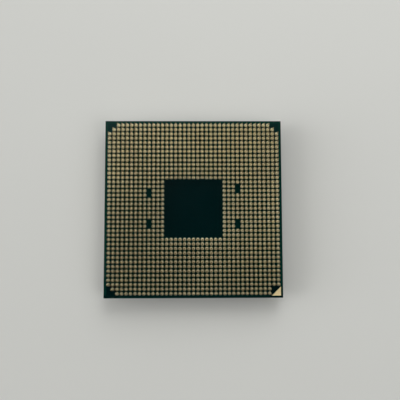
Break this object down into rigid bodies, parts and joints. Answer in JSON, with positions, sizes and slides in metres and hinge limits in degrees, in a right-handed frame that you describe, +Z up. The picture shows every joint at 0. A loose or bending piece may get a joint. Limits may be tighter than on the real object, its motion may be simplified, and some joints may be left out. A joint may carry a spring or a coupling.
{
  "type": "computer processor",
  "caption": "Square pin-grid computer processor lying on its stepped metal lid: gold contact pins on a dark green board, a bare middle and a gold corner mark.",
  "frame": {"origin": "centre of the lid's flat face, which the part rests on", "axes": "+Z up from the lid to the pin tips, +X to the right and +Y to the back as the picture shows it, so the gold corner mark is at +X, -Y"},
  "size_m": [0.04, 0.04, 0.006],
  "materials": {
    "solder_mask": "satin solder mask over laminate",
    "gold_mark": "bright gold plate",
    "pin_gold": "gold plate",
    "collar_gold": "dull gold and solder",
    "nickel_plate": "satin nickel plate over copper",
    "black_silicone": "matt",
    "silicon": "polished",
    "soft_solder": "dull",
    "underfill_resin": "cured resin",
    "capacitor_ceramic": "fired ceramic",
    "tin_plate": "tinned"
  },
  "bodies": {
    "root": {"substrate": "solder_mask", "pin_one_mark": "gold_mark", "lid_side_mark": "gold_mark", "lid": "nickel_plate", "lid_adhesive": "black_silicone", "die": "silicon", "thermal_joint": "soft_solder", "underfill": "underfill_resin", "capacitor_bodies": "capacitor_ceramic", "capacitor_terminals": "tin_plate", "collars_front_left": "collar_gold", "collars_front_right": "collar_gold", "collars_back_left": "collar_gold", "collars_back_right": "collar_gold", "pins_row_a": "pin_gold", "pins_row_b": "pin_gold", "pins_row_c": "pin_gold", "pins_row_d": "pin_gold", "pins_row_e": "pin_gold", "pins_row_f": "pin_gold", "pins_row_g": "pin_gold", "pins_row_h": "pin_gold", "pins_row_j": "pin_gold", "pins_row_k": "pin_gold", "pins_row_l": "pin_gold", "pins_row_m": "pin_gold", "pins_row_n": "pin_gold", "pins_row_p": "pin_gold", "pins_row_r": "pin_gold", "pins_row_t": "pin_gold", "pins_row_u": "pin_gold", "pins_row_v": "pin_gold", "pins_row_w": "pin_gold", "pins_row_y": "pin_gold", "pins_row_aa": "pin_gold", "pins_row_ab": "pin_gold", "pins_row_ac": "pin_gold", "pins_row_ad": "pin_gold", "pins_row_ae": "pin_gold", "pins_row_af": "pin_gold", "pins_row_ag": "pin_gold", "pins_row_ah": "pin_gold", "pins_row_aj": "pin_gold", "pins_row_ak": "pin_gold", "pins_row_al": "pin_gold", "pins_row_am": "pin_gold", "pins_row_an": "pin_gold", "pins_row_ap": "pin_gold", "pins_row_ar": "pin_gold", "pins_row_at": "pin_gold", "pins_row_au": "pin_gold", "pins_row_av": "pin_gold", "pins_row_aw": "pin_gold"}
  },
  "joints": []
}
